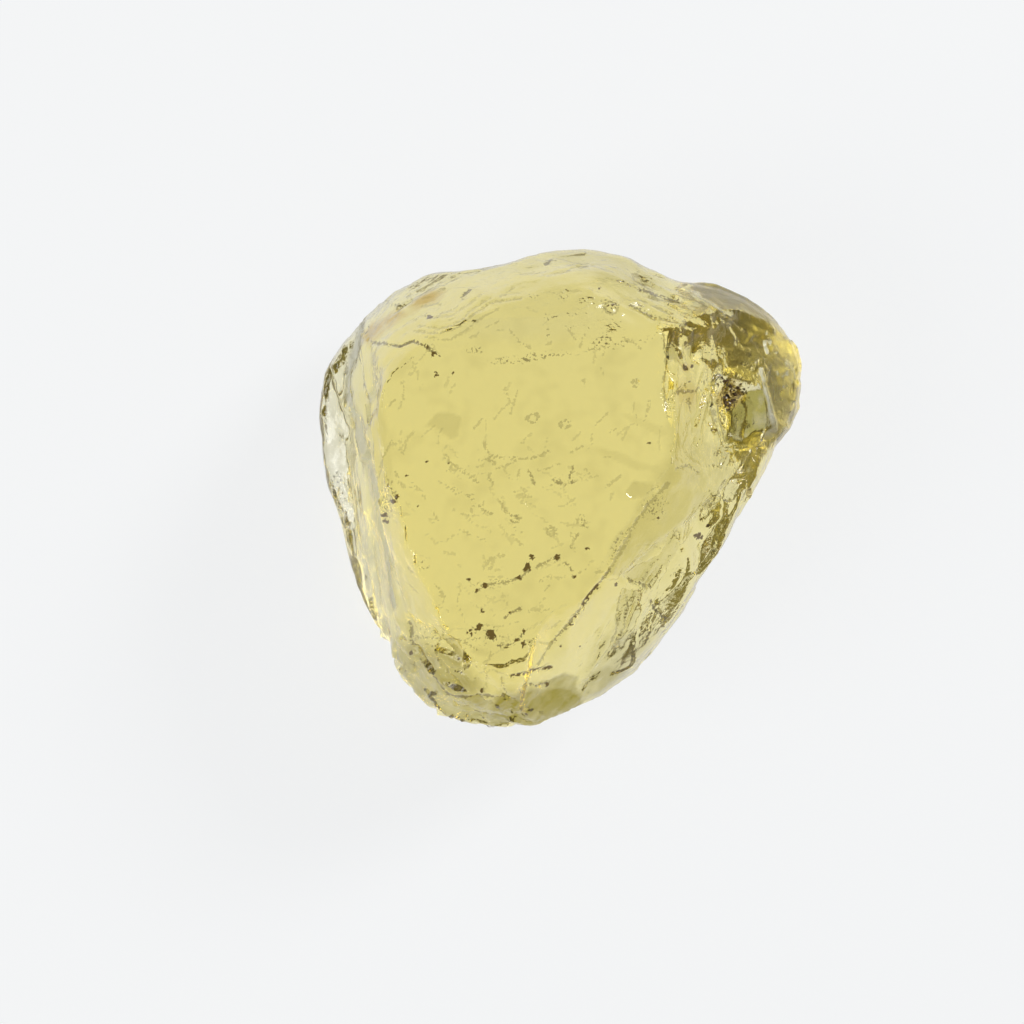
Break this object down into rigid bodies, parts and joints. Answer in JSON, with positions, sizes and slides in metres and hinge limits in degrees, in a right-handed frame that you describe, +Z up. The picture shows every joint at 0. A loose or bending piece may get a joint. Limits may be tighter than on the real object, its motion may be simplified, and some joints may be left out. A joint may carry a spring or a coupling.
{
  "type": "rough citrine crystal",
  "caption": "Broken, faceted lump of clear yellow quartz with a broad window face and a low knob at one corner, for display or as cutting rough.",
  "frame": {"origin": "under the middle of the stone's outline, on the surface it rests on", "axes": "+Z up, away from the resting face and through the broad window face; +X towards the low knob; +Y towards the broad end"},
  "size_m": [0.0386, 0.0378, 0.0248],
  "materials": {
    "citrine": "clear greenish yellow quartz, glossy on fresh fractures, duller and rust-stained in chips and cracks"
  },
  "bodies": {
    "root": {"citrine": "citrine"}
  },
  "joints": []
}
